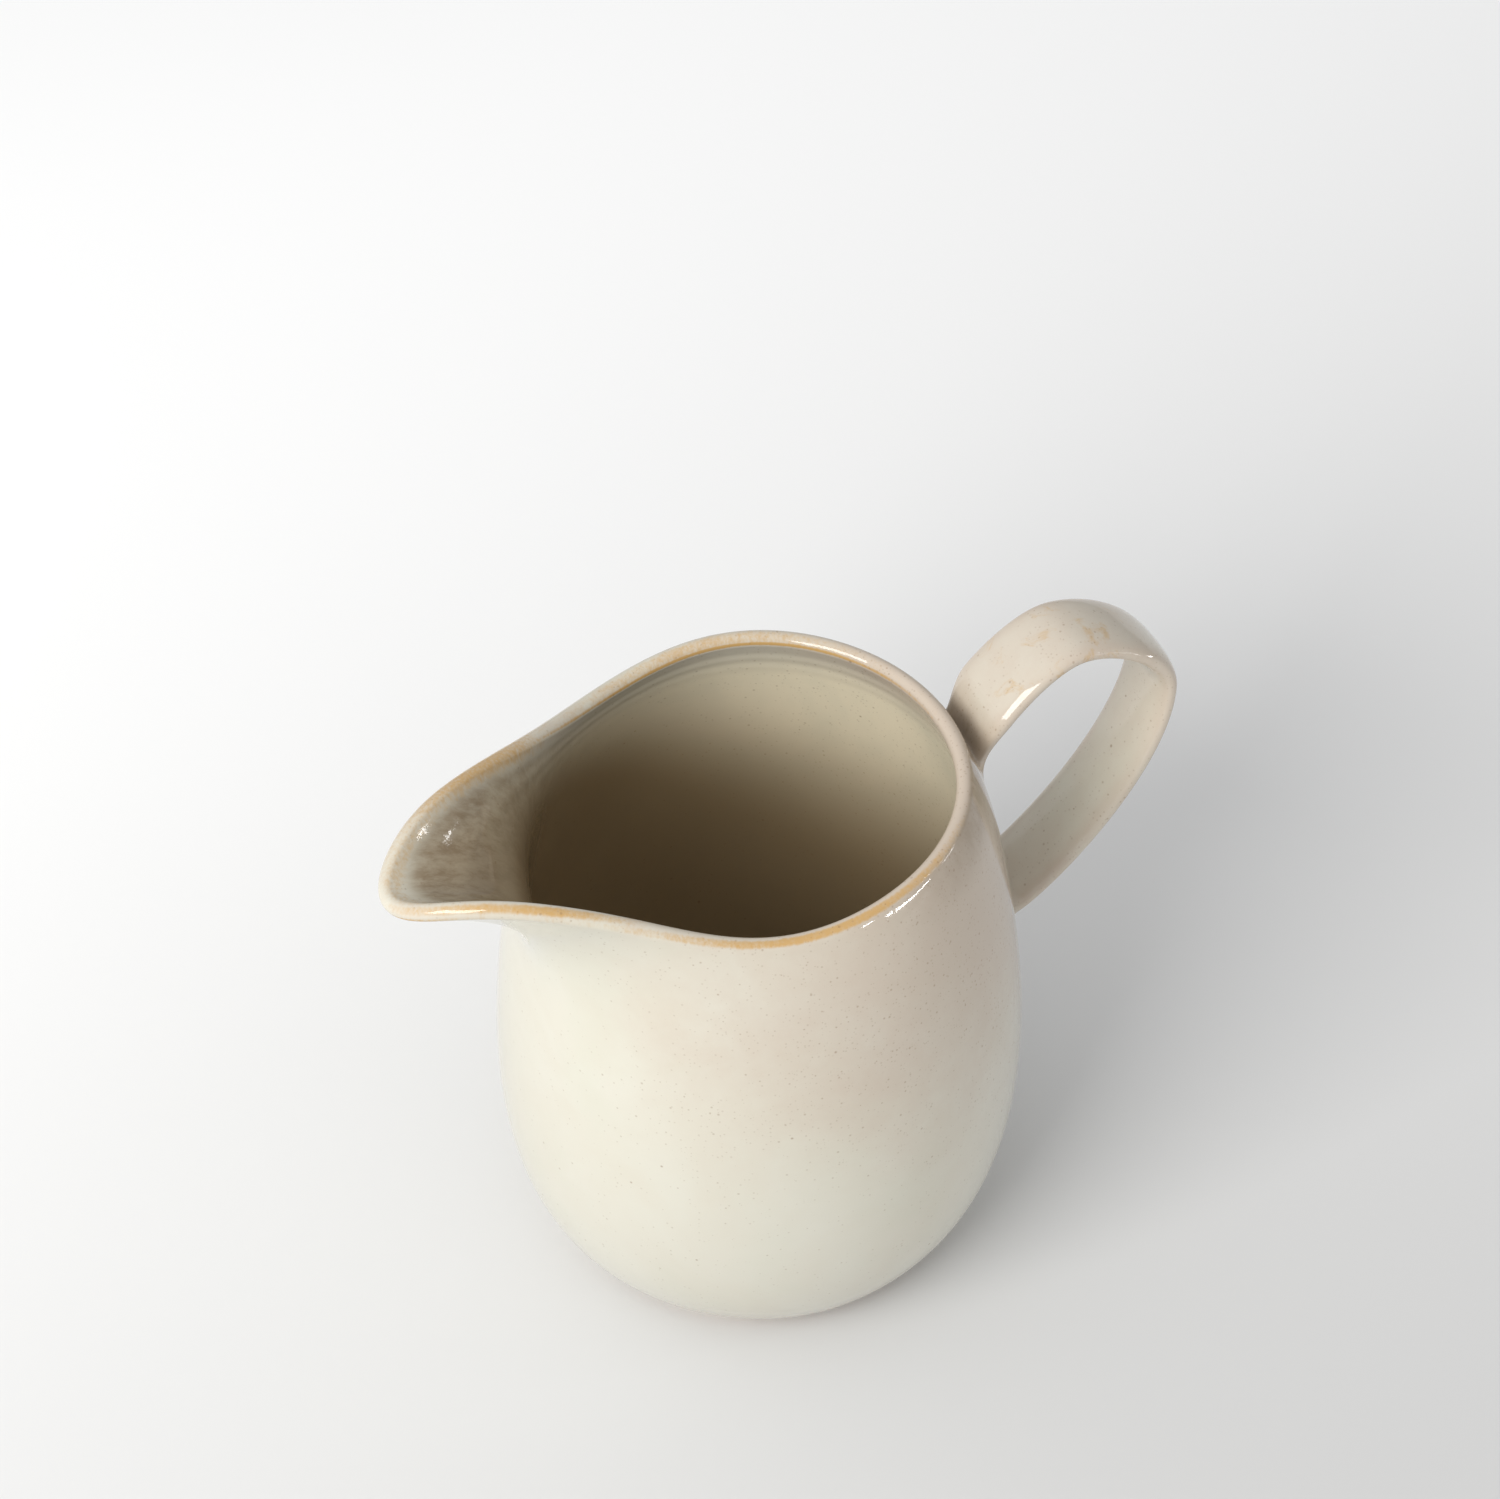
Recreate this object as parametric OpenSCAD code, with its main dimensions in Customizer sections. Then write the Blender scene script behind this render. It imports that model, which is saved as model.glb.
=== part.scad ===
// Ceramic pitcher: a thrown body with a pulled spout and a strap handle luted on behind it.
// Millimetres, +Z up. The origin is the centre of the foot, on the surface that it stands on.
// The handle is towards +X and the spout towards -X.

/* [Body] */
// Height of the rim, away from the spout
rim_height = 140; // [134:1:148]
// Outer diameter of the rim, away from the spout
rim_diameter = 95; // [88:1:102]
// Lean of the wall towards the axis at the rim, in degrees
rim_lean = 24; // [16:1:28]
// Largest outer diameter
belly_diameter = 122; // [114:1:128]
// Height of the largest diameter
belly_height = 58; // [52:1:64]
// Outer diameter of the wall where it meets the underside
base_diameter = 89; // [82:1:94]
// Thickness of the clay at the lip
lip_clay = 3.2; // [2.6:0.1:4]
// Thickness of the clay at the base of the wall
base_clay = 4.6; // [3.8:0.1:5.4]
// Outer diameter of the turned foot ring
foot_diameter = 84; // [76:1:86]
// Width of the foot ring's resting face
foot_width = 5; // [3:0.5:8]
// Height of the underside above the foot ring's resting face
foot_height = 2.5; // [1.5:0.5:3.5]
// Thickness of each coat of glaze
glaze = 0.4; // [0.3:0.05:0.6]

/* [Spout] */
// How far the pulled lip reaches beyond the round rim
spout_reach = 42.5; // [34:0.5:46]
// How far the sides of the spout rise above the rim
spout_rise = 11.5; // [6:0.5:13]
// How far the tip drops below the sides of the spout
tip_drop = 8; // [4:0.5:10]
// How far the rim dips beside the spout
rim_dip = 3; // [1:0.5:4]
// Height where the spout starts to leave the round wall
throat_height = 92; // [86:1:98]

/* [Handle] */
// Width of the strap
strap_width = 18.8; // [16:0.2:20]
// Thickness of the strap in the middle
strap_thickness = 4.8; // [4:0.2:5.6]
// Height of the upper root on the wall
upper_root_height = 126; // [124:0.5:128]
// Height of the top of the loop, at the middle of the strap
loop_height = 151; // [147:0.5:155]
// Distance of the top of the loop from the axis
loop_crown = 76; // [73:0.5:79]
// Distance of the outermost point of the loop from the axis
loop_reach = 100.5; // [96:0.5:104]
// Height of the outermost point of the loop
loop_waist = 130.5; // [127:0.5:134]
// Height of the lower root on the wall
lower_root_height = 74; // [70:0.5:78]

/* [Hidden] */

clay_colour = [0.72, 0.64, 0.54];
glaze_colour = [0.91, 0.89, 0.83];
lining_colour = [0.84, 0.80, 0.70];

// Grid of the wall: points in a ring, rings up each side, rings round half the lip
ring_points = 64;
wall_rings = 17;
lip_rings = 3;
// Degrees by which the points of a ring crowd towards the spout
crowding = 33;

// Shape of the wall's middle line
base_flare = 48;
base_pull = 18;
belly_pull_down = 24;
belly_pull_up = 26;
rim_pull = 17.5;
// Shape of the spout in plan and in height, in degrees from the spout's centre
plan_falloff = 0.64;
plan_width = 10;
rise_width = 32;
dip_angle = 68;
dip_width = 30;
drop_width = 9;
// How sharply the spout turns outwards over the throat, and how sharply it lifts
spout_curl = 3.6;
spout_lift = 2;

// Steps used for slopes
turn_step = 0.5;
climb_step = 0.002;

// Inner floor and the bevel under the wall
floor_step = 0.8;
floor_inset = 4;
bevel = 1.1;

// Strap: points round its section, its squareness, rings in each stretch
strap_points = 20;
strap_squareness = 2.8;
stretch_rings = 12;
// Handle lengths of the loop's curves, and the direction of the upper root in degrees
root_angle = 78;
root_pull = 10;
crown_pull_in = 9.5;
crown_pull_out = 9;
waist_pull_up = 10;
waist_pull_down = 27;
lower_pull = 8;
// Where the strap hands over to its joints, along the first and last stretch
upper_seam = 0.42;
lower_seam = 0.8;
// How far the middle of the strap starts inside the wall's face
root_depth = 1.5;
// How much the joints widen and thicken where they reach the wall
joint_spread = 1.22;
joint_swell = 1.9;
joint_rings = 6;
// How far the joints run on inside the wall before they are cut to it
joint_overrun = 5;

function unit(v) = v / norm(v);

function bell(angle, width) = exp(-pow(angle / width, 2));

function bezier(p, t) =
    pow(1 - t, 3) * p[0]
    + 3 * pow(1 - t, 2) * t * p[1]
    + 3 * (1 - t) * t * t * p[2]
    + t * t * t * p[3];

// --- Wall ---

function clay_at(t) = base_clay + (lip_clay - base_clay) * t;

// Middle line of the wall as [radius, height], for t from 0 at the base to 1 at the lip
base_point = [
    base_diameter / 2 - sin(base_flare) * base_clay / 2,
    foot_height + bevel + cos(base_flare) * base_clay / 2
];
belly_point = [belly_diameter / 2 - glaze - clay_at(0.5) / 2, belly_height];
rim_point = [rim_diameter / 2 - glaze - lip_clay / 2, rim_height - glaze - lip_clay / 2];
lower_curve = [
    base_point,
    base_point + base_pull * [cos(base_flare), sin(base_flare)],
    belly_point - [0, belly_pull_down],
    belly_point
];
upper_curve = [
    belly_point,
    belly_point + [0, belly_pull_up],
    rim_point + rim_pull * [sin(rim_lean), -cos(rim_lean)],
    rim_point
];
function wall_line(t) = t < 0.5 ? bezier(lower_curve, 2 * t) : bezier(upper_curve, 2 * t - 1);

// The pulled lip, by the angle from the spout's centre
function spout_plan(angle) =
    spout_reach * exp(-plan_falloff * (sqrt(1 + pow(angle / plan_width, 2)) - 1));
function spout_height(angle) =
    spout_rise * bell(angle, rise_width)
    - rim_dip * bell(abs(angle) - dip_angle, dip_width)
    - tip_drop * bell(angle, drop_width);

// Share of the spout's pull at a height on the round wall
function pulled(height) = max(0, (height - throat_height) / (rim_point[1] - throat_height));

// Middle surface of the wall
function wall_point(angle, t) =
    let (
        p = wall_line(t),
        share = pulled(p[1]),
        radius = p[0] + spout_plan(angle) * pow(share, spout_curl)
    )
    [-radius * cos(angle), -radius * sin(angle), p[1] + spout_height(angle) * pow(share, spout_lift)];
function wall_climb(angle, t) =
    let (from = min(t, 1 - climb_step))
    unit(wall_point(angle, from + climb_step) - wall_point(angle, from));
function wall_normal(angle, t) =
    let (turn = wall_point(angle + turn_step, t) - wall_point(angle - turn_step, t))
    unit(cross(turn, wall_climb(angle, t)));

// Angles of a ring's points, crowded towards the spout at angle 0
function ring_angle(i) =
    let (a = 360 * i / ring_points - 180)
    a - crowding * sin(a);
ring_angles = [for (i = [0 : ring_points - 1]) ring_angle(i)];

// A ring parallel to the middle surface. side is 1 outside and -1 inside; coat is the glaze over the clay
function wall_ring(t, side, coat) =
    [for (a = ring_angles) wall_point(a, t) + wall_normal(a, t) * side * (clay_at(t) / 2 + coat)];
// A ring round the lip, for roll from 0 on the outside to 180 on the inside
function lip_ring(roll, coat) =
    [for (a = ring_angles)
        wall_point(a, 1)
        + (lip_clay / 2 + coat) * (cos(roll) * wall_normal(a, 1) + sin(roll) * wall_climb(a, 1))];
// A level ring round the axis
function level_ring(radius, height) =
    [for (a = ring_angles) [-radius * cos(a), -radius * sin(a), height]];

function outside_rings(coat) = [for (i = [0 : wall_rings]) wall_ring(i / wall_rings, 1, coat)];
function inside_rings(coat) = [for (i = [wall_rings : -1 : 0]) wall_ring(i / wall_rings, -1, coat)];
// Rings over part of the lip, without the first and last of the half circle
function over_lip(from, to, coat) =
    let (count = round(abs(to - from) / 180 * 2 * lip_rings))
    [for (i = [1 : count]) lip_ring(from + (to - from) * i / count, coat)];

inner_base = wall_ring(0, -1, 0)[0];
inner_base_radius = norm([inner_base[0], inner_base[1]]);
function floor_ring(coat) =
    level_ring(inner_base_radius - floor_inset, inner_base[2] - floor_step + coat);
underside_ring = level_ring(base_diameter / 2 - bevel, foot_height);

function reversed(list) = [for (i = [len(list) - 1 : -1 : 0]) list[i]];

// A closed skin over rings with equal numbers of points. The rings either close on themselves,
// or a flat face closes each end.
module skin(rings, loop = false) {
    n = len(rings[0]);
    count = len(rings);
    bands = loop ? count : count - 1;
    sides = [
        for (i = [0 : bands - 1], j = [0 : n - 1])
            let (
                a = i * n + j,
                b = i * n + (j + 1) % n,
                c = ((i + 1) % count) * n + (j + 1) % n,
                d = ((i + 1) % count) * n + j
            )
            each [[a, c, b], [a, d, c]]
    ];
    ends = loop ? [] : [[for (j = [0 : n - 1]) j], [for (j = [n - 1 : -1 : 0]) (count - 1) * n + j]];
    polyhedron(points = [for (ring = rings) each ring], faces = concat(sides, ends));
}

// --- Handle ---

function wall_radius(height, t = 0.9, tries = 8) =
    let (
        p = wall_line(t),
        slope = (wall_line(t + climb_step) - p) / climb_step,
        next = max(0.3, min(0.99, t + (height - p[1]) / slope[1]))
    )
    tries == 0 ? p[0] + clay_at(t) / 2 : wall_radius(height, next, tries - 1);

upper_root = [wall_radius(upper_root_height) - root_depth, upper_root_height];
lower_root = [wall_radius(lower_root_height) - root_depth, lower_root_height];
crown = [loop_crown, loop_height];
waist = [loop_reach, loop_waist];
loop_curves = [
    [
        upper_root,
        upper_root + root_pull * [cos(root_angle), sin(root_angle)],
        crown - [crown_pull_in, 0],
        crown
    ],
    [crown, crown + [crown_pull_out, 0], waist + [0, waist_pull_up], waist],
    [waist, waist - [0, waist_pull_down], lower_root + [lower_pull, 0], lower_root]
];
// Middle line of the strap, for u from 0 at the upper root to 3 at the lower root, and straight on past both
function strap_line(u) =
    u < 0 ? upper_root + u * strap_heading(0)
    : u > 3 ? lower_root + (u - 3) * strap_heading(3)
    : let (i = min(2, floor(u))) bezier(loop_curves[i], u - i);
function strap_heading(u) =
    let (from = max(0, min(3 - climb_step, u)), i = min(2, floor(from)))
    unit(bezier(loop_curves[i], from - i + climb_step) - bezier(loop_curves[i], from - i));

// A rounded section across the strap, half_width by half_depth
function signed_power(x, exponent) = sign(x) * pow(abs(x), exponent);
function strap_ring(u, half_width, half_depth) =
    let (middle = strap_line(u), heading = strap_heading(u))
    [
        for (j = [0 : strap_points - 1])
            let (
                a = 360 * (j + 0.5) / strap_points,
                across = half_width * signed_power(cos(a), 2 / strap_squareness),
                out = half_depth * signed_power(sin(a), 2 / strap_squareness)
            )
            [middle[0] - heading[1] * out, across, middle[1] + heading[0] * out]
    ];
function strap_rings(coat) =
    let (from = upper_seam, to = 2 + lower_seam, count = 3 * stretch_rings)
    [
        for (i = [0 : count])
            strap_ring(from + (to - from) * i / count, strap_width / 2 + coat, strap_thickness / 2 + coat)
    ];
// A joint from the strap's end at u = seam, widening to the wall at u = root and running on inside it
function joint_rings_at(seam, root, past) = [
    for (i = [0 : joint_rings + 1])
        let (
            share = min(1, i / joint_rings),
            u = i > joint_rings ? past : seam + (root - seam) * share,
            grown = pow(share, 2)
        )
        strap_ring(
            u,
            (strap_width / 2 + glaze) * (1 + (joint_spread - 1) * grown),
            (strap_thickness / 2 + glaze) * (1 + (joint_swell - 1) * grown)
        )
];
module upper_blank() {
    skin(reversed(joint_rings_at(upper_seam, 0, -joint_overrun)));
}
module lower_blank() {
    skin(joint_rings_at(2 + lower_seam, 3, 3 + joint_overrun));
}
// Everything inside the clay's outer face
module wall_solid() {
    skin(concat([underside_ring], outside_rings(0), over_lip(0, 90, 0)));
}

// --- Pieces ---

module body() {
    color(clay_colour) {
        skin(concat(
            [underside_ring],
            outside_rings(0),
            over_lip(0, 180, 0),
            [for (i = [1 : wall_rings]) inside_rings(0)[i]],
            [floor_ring(0)]
        ));
        rotate_extrude($fn = 96)
            translate([foot_diameter / 2 - foot_width, 0])
                square([foot_width, foot_height + 1]);
    }
}

module handle() {
    color(clay_colour) skin(strap_rings(0));
}

module upper_joint() {
    color(clay_colour) difference() {
        upper_blank();
        wall_solid();
    }
}

module lower_joint() {
    color(clay_colour) difference() {
        lower_blank();
        wall_solid();
    }
}

module outer_glaze() {
    color(glaze_colour) difference() {
        skin(concat(
            outside_rings(glaze),
            over_lip(0, 90, glaze),
            reversed(over_lip(0, 90, 0)),
            reversed(outside_rings(0))
        ), loop = true);
        upper_blank();
        lower_blank();
    }
}

module inner_glaze() {
    color(lining_colour) skin(concat(
        [floor_ring(0)],
        reversed([for (i = [1 : wall_rings]) inside_rings(0)[i]]),
        reversed(over_lip(90, 180, 0)),
        [lip_ring(90, 0)],
        [lip_ring(90, glaze)],
        over_lip(90, 180, glaze),
        [for (i = [1 : wall_rings]) inside_rings(glaze)[i]],
        [floor_ring(glaze)]
    ));
}

module handle_glaze() {
    color(glaze_colour) skin(concat(strap_rings(glaze), reversed(strap_rings(0))), loop = true);
}

body();
handle();
upper_joint();
lower_joint();
outer_glaze();
inner_glaze();
handle_glaze();
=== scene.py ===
"""The looks of the ceramic pitcher: a thrown stoneware body, a pulled spout and a strap handle under
a cream reactive glaze. The shapes follow the CAD's own curves at a finer grain, with the small
unevenness of a thrown pot. Sizes are in millimetres and angles in degrees until a mesh is made."""

import math

import bmesh
import bpy
import numpy as np
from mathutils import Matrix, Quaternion, Vector

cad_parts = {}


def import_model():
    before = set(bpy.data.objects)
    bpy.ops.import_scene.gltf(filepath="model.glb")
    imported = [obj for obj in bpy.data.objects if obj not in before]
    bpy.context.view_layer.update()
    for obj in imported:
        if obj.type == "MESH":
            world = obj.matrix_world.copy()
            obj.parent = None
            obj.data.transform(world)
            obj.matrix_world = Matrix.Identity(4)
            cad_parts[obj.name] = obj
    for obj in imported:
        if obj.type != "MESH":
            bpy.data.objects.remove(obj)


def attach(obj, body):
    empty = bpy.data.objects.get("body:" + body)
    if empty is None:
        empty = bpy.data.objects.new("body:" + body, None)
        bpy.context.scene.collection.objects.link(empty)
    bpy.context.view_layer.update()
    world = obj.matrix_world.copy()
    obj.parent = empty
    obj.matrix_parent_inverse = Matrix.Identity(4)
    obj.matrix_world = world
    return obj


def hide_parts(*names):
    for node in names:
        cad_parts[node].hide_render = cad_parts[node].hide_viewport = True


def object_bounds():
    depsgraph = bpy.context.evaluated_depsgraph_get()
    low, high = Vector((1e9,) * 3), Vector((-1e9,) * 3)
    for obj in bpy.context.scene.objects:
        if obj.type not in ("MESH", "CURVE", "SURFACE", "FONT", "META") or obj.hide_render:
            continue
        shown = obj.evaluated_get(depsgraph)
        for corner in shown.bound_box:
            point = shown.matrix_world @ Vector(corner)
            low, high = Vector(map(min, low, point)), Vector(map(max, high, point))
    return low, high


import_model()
cad_low, cad_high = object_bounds()

MM = 0.001
STANDING_HEIGHT = cad_low.z / MM

# --- Body sizes ---
RIM_HEIGHT = 140.0
RIM_DIAMETER = 95.0
RIM_LEAN = 24.0
BELLY_DIAMETER = 122.0
BELLY_HEIGHT = 58.0
BASE_DIAMETER = 89.0
LIP_CLAY = 3.2
BASE_CLAY = 4.6
FOOT_DIAMETER = 84.0
FOOT_WIDTH = 5.0
FOOT_HEIGHT = 2.5
FOOT_ROUNDING = 0.8
COAT = 0.4
BEVEL = 1.1
FLOOR_STEP = 0.8
FLOOR_INSET = 4.0
FOOT_HOLLOW = 1.2
FOOT_CHAMFER = 0.3
CENTRE_RADIUS = 0.6
UNDER_GLAZE = -0.03

# --- Spout sizes ---
SPOUT_REACH = 42.5
SPOUT_RISE = 11.5
TIP_DROP = 8.0
RIM_DIP = 3.0
THROAT_HEIGHT = 92.0
PLAN_FALLOFF = 0.64
PLAN_WIDTH = 10.0
RISE_WIDTH = 32.0
DIP_ANGLE = 68.0
DIP_WIDTH = 30.0
DROP_WIDTH = 9.0
SPOUT_CURL = 3.6
SPOUT_LIFT = 2.0

# --- Curves of the wall's middle line ---
BASE_FLARE = 48.0
BASE_PULL = 18.0
BELLY_PULL_DOWN = 24.0
BELLY_PULL_UP = 26.0
RIM_PULL = 17.5

# --- Handle sizes ---
STRAP_WIDTH = 18.8
STRAP_THICKNESS = 4.8
STRAP_SQUARENESS = 2.5
ROOT_WIDENING = 0.07
UPPER_ROOT_HEIGHT = 126.0
LOOP_HEIGHT = 151.0
LOOP_CROWN = 76.0
LOOP_REACH = 100.5
LOOP_WAIST = 130.5
LOWER_ROOT_HEIGHT = 74.0
ROOT_ANGLE = 78.0
ROOT_PULL = 10.0
CROWN_PULL_IN = 9.5
CROWN_PULL_OUT = 9.0
WAIST_PULL_UP = 10.0
WAIST_PULL_DOWN = 27.0
LOWER_PULL = 8.0
ROOT_DEPTH = 1.5
UPPER_SEAM = 0.42
LOWER_SEAM = 2.8
UPPER_FOOTPRINT = (12.0, 4.5, 12.0)
LOWER_FOOTPRINT = (12.0, 5.5, 5.5)
JOINT_PULL = 0.45
JOINT_GRIP = 0.42
JOINT_SINK = 0.02

# --- Grain of the meshes ---
RING_POINTS = 384
CROWDING = 33.0
WALL_RINGS = 150
LIP_RINGS = 14
STRAP_POINTS = 72
STRAP_RINGS = 220
JOINT_RINGS = 26
EDGE_RINGS = 9
FLOOR_RINGS = 18
SPIRAL_RINGS = 60
ROUNDING_RINGS = 7
TURN_STEP = 0.5
CLIMB_STEP = 0.002
ROOT_STEP = 0.01
GLAZE_EDGE = 0.012
CREASE_ANGLE = 50.0

# --- Unevenness of the thrown pot ---
HAND_SWELL = 0.28
RING_DEPTH = 0.07
RING_HEIGHT = 132.0
RING_SPACING = 4.4
RING_SPREAD = 5.0
LIP_SWAY = 0.25
FLOOR_SPIRAL_DEPTH = 0.18
FLOOR_SPIRAL_SPACING = 5.5
UNDER_SPIRAL_DEPTH = 0.12
UNDER_SPIRAL_SPACING = 2.2
SPIRAL_MARGIN = 0.4
STRAP_WAVE = 0.12
STRAP_SWELL = 0.04


# ---------------------------------------------------------------- shapes

def unit(v):
    return v / np.linalg.norm(v, axis=-1, keepdims=True)


def bell(angle, width):
    return np.exp(-((angle / width) ** 2))


def smooth(x, low, high):
    s = np.clip((x - low) / (high - low), 0.0, 1.0)
    return s * s * (3 - 2 * s)


def turned(degrees):
    """The direction at that many degrees from +X, in the plane of a profile."""
    return np.array([math.cos(math.radians(degrees)), math.sin(math.radians(degrees))])


def bezier(points, t):
    t = np.asarray(t, float)[..., None]
    return (
        (1 - t) ** 3 * points[0]
        + 3 * (1 - t) ** 2 * t * points[1]
        + 3 * (1 - t) * t**2 * points[2]
        + t**3 * points[3]
    )


def clay_at(t):
    return BASE_CLAY + (LIP_CLAY - BASE_CLAY) * t


BASE_POINT = np.array([
    BASE_DIAMETER / 2 - math.sin(math.radians(BASE_FLARE)) * BASE_CLAY / 2,
    FOOT_HEIGHT + BEVEL + math.cos(math.radians(BASE_FLARE)) * BASE_CLAY / 2,
])
BELLY_POINT = np.array([BELLY_DIAMETER / 2 - COAT - clay_at(0.5) / 2, BELLY_HEIGHT])
RIM_POINT = np.array([RIM_DIAMETER / 2 - COAT - LIP_CLAY / 2, RIM_HEIGHT - COAT - LIP_CLAY / 2])
UP = np.array([0.0, 1.0])
LOWER_CURVE = [
    BASE_POINT,
    BASE_POINT + BASE_PULL * turned(BASE_FLARE),
    BELLY_POINT - BELLY_PULL_DOWN * UP,
    BELLY_POINT,
]
UPPER_CURVE = [
    BELLY_POINT,
    BELLY_POINT + BELLY_PULL_UP * UP,
    RIM_POINT - RIM_PULL * turned(90 + RIM_LEAN),
    RIM_POINT,
]


def wall_line(t):
    """Middle line of the wall as radius and height, for t from 0 at the base to 1 at the lip."""
    t = np.asarray(t, float)
    low = bezier(LOWER_CURVE, np.clip(2 * t, 0, 1))
    high = bezier(UPPER_CURVE, np.clip(2 * t - 1, 0, 1))
    return np.where((t < 0.5)[..., None], low, high)


def spout_plan(angle):
    return SPOUT_REACH * np.exp(-PLAN_FALLOFF * (np.sqrt(1 + (angle / PLAN_WIDTH) ** 2) - 1))


def spout_height(angle):
    return (
        SPOUT_RISE * bell(angle, RISE_WIDTH)
        - RIM_DIP * bell(np.abs(angle) - DIP_ANGLE, DIP_WIDTH)
        - TIP_DROP * bell(angle, DROP_WIDTH)
    )


def hand_swell(angle, height):
    """How far the potter's hands left the wall out of true, smooth all the way round."""
    a = np.radians(angle)
    h = height / RIM_HEIGHT
    return HAND_SWELL * (
        0.55 * np.sin(2 * a + 0.7 + 2.1 * h)
        + 0.40 * np.sin(3 * a + 2.2 - 5.3 * h)
        + 0.35 * np.sin(5 * a - 0.9 + 7.9 * h) * np.sin(9.4 * h + 0.4)
        + 0.25 * np.sin(7 * a + 4.1 + 11.0 * h)
    )


def wall_point(angle, t):
    """Middle surface of the wall. The angle is measured from the spout's centre."""
    angle, t = np.broadcast_arrays(np.asarray(angle, float), np.asarray(t, float))
    p = wall_line(t)
    share = np.maximum(0, (p[..., 1] - THROAT_HEIGHT) / (RIM_POINT[1] - THROAT_HEIGHT))
    fade = smooth(p[..., 1], FOOT_HEIGHT, 4 * FOOT_HEIGHT) * (1 - 0.6 * share)
    radius = p[..., 0] + spout_plan(angle) * share**SPOUT_CURL + hand_swell(angle, p[..., 1]) * fade
    sway = LIP_SWAY * share * np.sin(np.radians(3 * angle + 50)) * (1 - bell(angle, 40))
    height = p[..., 1] + spout_height(angle) * share**SPOUT_LIFT + sway
    a = np.radians(angle)
    return np.stack([-radius * np.cos(a), -radius * np.sin(a), height], axis=-1)


def wall_climb(angle, t):
    start = np.clip(t, 0, 1 - CLIMB_STEP)
    return unit(wall_point(angle, start + CLIMB_STEP) - wall_point(angle, start))


def wall_normal(angle, t):
    turn = wall_point(angle + TURN_STEP, t) - wall_point(angle - TURN_STEP, t)
    return unit(np.cross(turn, wall_climb(angle, t)))


def ring_angles(count=RING_POINTS):
    a = 360 * np.arange(count) / count - 180
    return a - CROWDING * np.sin(np.radians(a))


ANGLES = ring_angles()


def wall_ring(t, side, coat):
    """A ring parallel to the middle surface: side is 1 outside and -1 inside, coat lies over the clay."""
    t = np.full_like(ANGLES, t)
    return wall_point(ANGLES, t) + wall_normal(ANGLES, t) * (side * (clay_at(t) / 2 + coat))[:, None]


def lip_ring(roll, coat):
    """A ring round the lip, for roll from 0 on the outside to 180 on the inside."""
    top = np.ones_like(ANGLES)
    out, along = turned(roll)
    radius = LIP_CLAY / 2 + coat
    return wall_point(ANGLES, top) + radius * (
        out * wall_normal(ANGLES, top) + along * wall_climb(ANGLES, top)
    )


def level_ring(radius, height, count=RING_POINTS):
    a = np.radians(ring_angles(count))
    return np.stack([-radius * np.cos(a), -radius * np.sin(a), np.full_like(a, height)], axis=-1)


# ---------------------------------------------------------------- handle

def wall_t_at(height):
    """Where the round wall's middle line passes a height."""
    low, high = 0.3, 0.99
    for _ in range(40):
        middle = (low + high) / 2
        if wall_line(middle)[1] < height:
            low = middle
        else:
            high = middle
    return low


def wall_radius(height):
    t = wall_t_at(height)
    return wall_line(t)[0] + clay_at(t) / 2


UPPER_ROOT = np.array([wall_radius(UPPER_ROOT_HEIGHT) - ROOT_DEPTH, UPPER_ROOT_HEIGHT])
LOWER_ROOT = np.array([wall_radius(LOWER_ROOT_HEIGHT) - ROOT_DEPTH, LOWER_ROOT_HEIGHT])
CROWN = np.array([LOOP_CROWN, LOOP_HEIGHT])
WAIST = np.array([LOOP_REACH, LOOP_WAIST])
OUT = np.array([1.0, 0.0])
LOOP_CURVES = [
    [UPPER_ROOT, UPPER_ROOT + ROOT_PULL * turned(ROOT_ANGLE), CROWN - CROWN_PULL_IN * OUT, CROWN],
    [CROWN, CROWN + CROWN_PULL_OUT * OUT, WAIST + WAIST_PULL_UP * UP, WAIST],
    [WAIST, WAIST - WAIST_PULL_DOWN * UP, LOWER_ROOT + LOWER_PULL * OUT, LOWER_ROOT],
]


def strap_line(u):
    """Middle line of the strap, for u from 0 at the upper root to 3 at the lower root."""
    i = min(2, int(max(0.0, min(3.0, u))))
    return bezier(LOOP_CURVES[i], u - i)


def strap_heading(u):
    start = max(0.0, min(3 - CLIMB_STEP, u))
    return unit(strap_line(start + CLIMB_STEP) - strap_line(start))


def in_plane(v, across):
    """A point of the handle's plane, moved across it."""
    return np.stack([np.full_like(across, v[0]), across, np.full_like(across, v[1])], axis=-1)


STRAP_ANGLES = 360 * (np.arange(STRAP_POINTS) + 0.5) / STRAP_POINTS


def strap_section():
    """Unit section of the strap: how far across and how far out each of its points lies."""
    a = np.radians(STRAP_ANGLES)
    power = 2 / STRAP_SQUARENESS
    across = np.sign(np.cos(a)) * np.abs(np.cos(a)) ** power
    out = np.sign(np.sin(a)) * np.abs(np.sin(a)) ** power
    return across, out


def strap_ring(u, coat):
    across, out = strap_section()
    wider = 1 + ROOT_WIDENING * (1 - smooth(u, 0.2, 1.3))
    half_width = STRAP_WIDTH / 2 * wider + coat
    half_depth = STRAP_THICKNESS / 2 + coat
    middle, heading = strap_line(u), strap_heading(u)
    wave = STRAP_WAVE * math.sin(4.1 * u + 0.5)
    ring = in_plane(middle, half_width * across + wave)
    depth = half_depth * out * (1 + STRAP_SWELL * math.sin(5.3 * u))
    ring[:, 0] -= heading[1] * depth
    ring[:, 2] += heading[0] * depth
    return ring


# ---------------------------------------------------------------- meshes

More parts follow.
